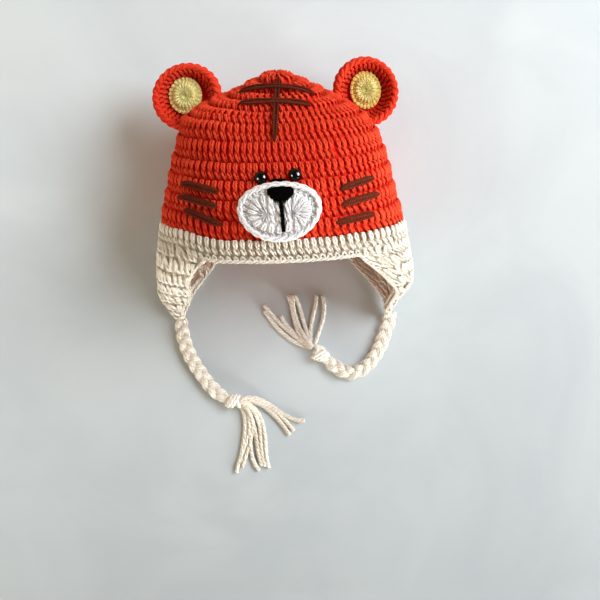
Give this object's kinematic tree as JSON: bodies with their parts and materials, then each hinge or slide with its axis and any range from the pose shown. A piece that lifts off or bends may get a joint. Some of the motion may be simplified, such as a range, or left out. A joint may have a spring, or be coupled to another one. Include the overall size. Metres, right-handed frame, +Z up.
{
  "type": "crocheted animal hat with earflaps and ties",
  "caption": "Crocheted baby hat with a tiger's face, cupped ears, earflaps and plaited ties with tassels, lying on its back.",
  "frame": {"origin": "on the table, under the middle of the hat's box without its ties and tassels", "axes": "X across the face, with the left pieces at -X as seen from in front; +Y from the brim to the crown; +Z up out of the face"},
  "size_m": [0.1742, 0.2851, 0.1271],
  "materials": {
    "yarn_red": "matte acrylic yarn, crocheted",
    "yarn_cream": "matte acrylic yarn, crocheted and plaited",
    "yarn_yellow": "matte acrylic yarn, crocheted",
    "yarn_white": "matte acrylic yarn, crocheted",
    "yarn_black": "matte acrylic yarn, stitched",
    "yarn_brown": "matte acrylic yarn, stitched",
    "eye_gloss": "polished black"
  },
  "bodies": {
    "root": {"crown": "yarn_red", "brim_band": "yarn_cream", "ear_flap_left": "yarn_cream", "ear_flap_right": "yarn_cream", "ear_left": "yarn_red", "ear_right": "yarn_red", "ear_center_left": "yarn_yellow", "ear_center_right": "yarn_yellow", "muzzle": "yarn_white", "nose": "yarn_black", "mouth_line": "yarn_black", "eye_left": "eye_gloss", "eye_right": "eye_gloss", "forehead_stripe_upper": "yarn_brown", "forehead_stripe_lower": "yarn_brown", "forehead_stripe_middle": "yarn_brown", "cheek_stripe_left_1": "yarn_brown", "cheek_stripe_left_2": "yarn_brown", "cheek_stripe_left_3": "yarn_brown", "cheek_stripe_right_1": "yarn_brown", "cheek_stripe_right_2": "yarn_brown", "cheek_stripe_right_3": "yarn_brown", "tie_left": "yarn_cream", "tassel_left": "yarn_cream", "tie_right": "yarn_cream", "tassel_right": "yarn_cream"}
  },
  "joints": []
}
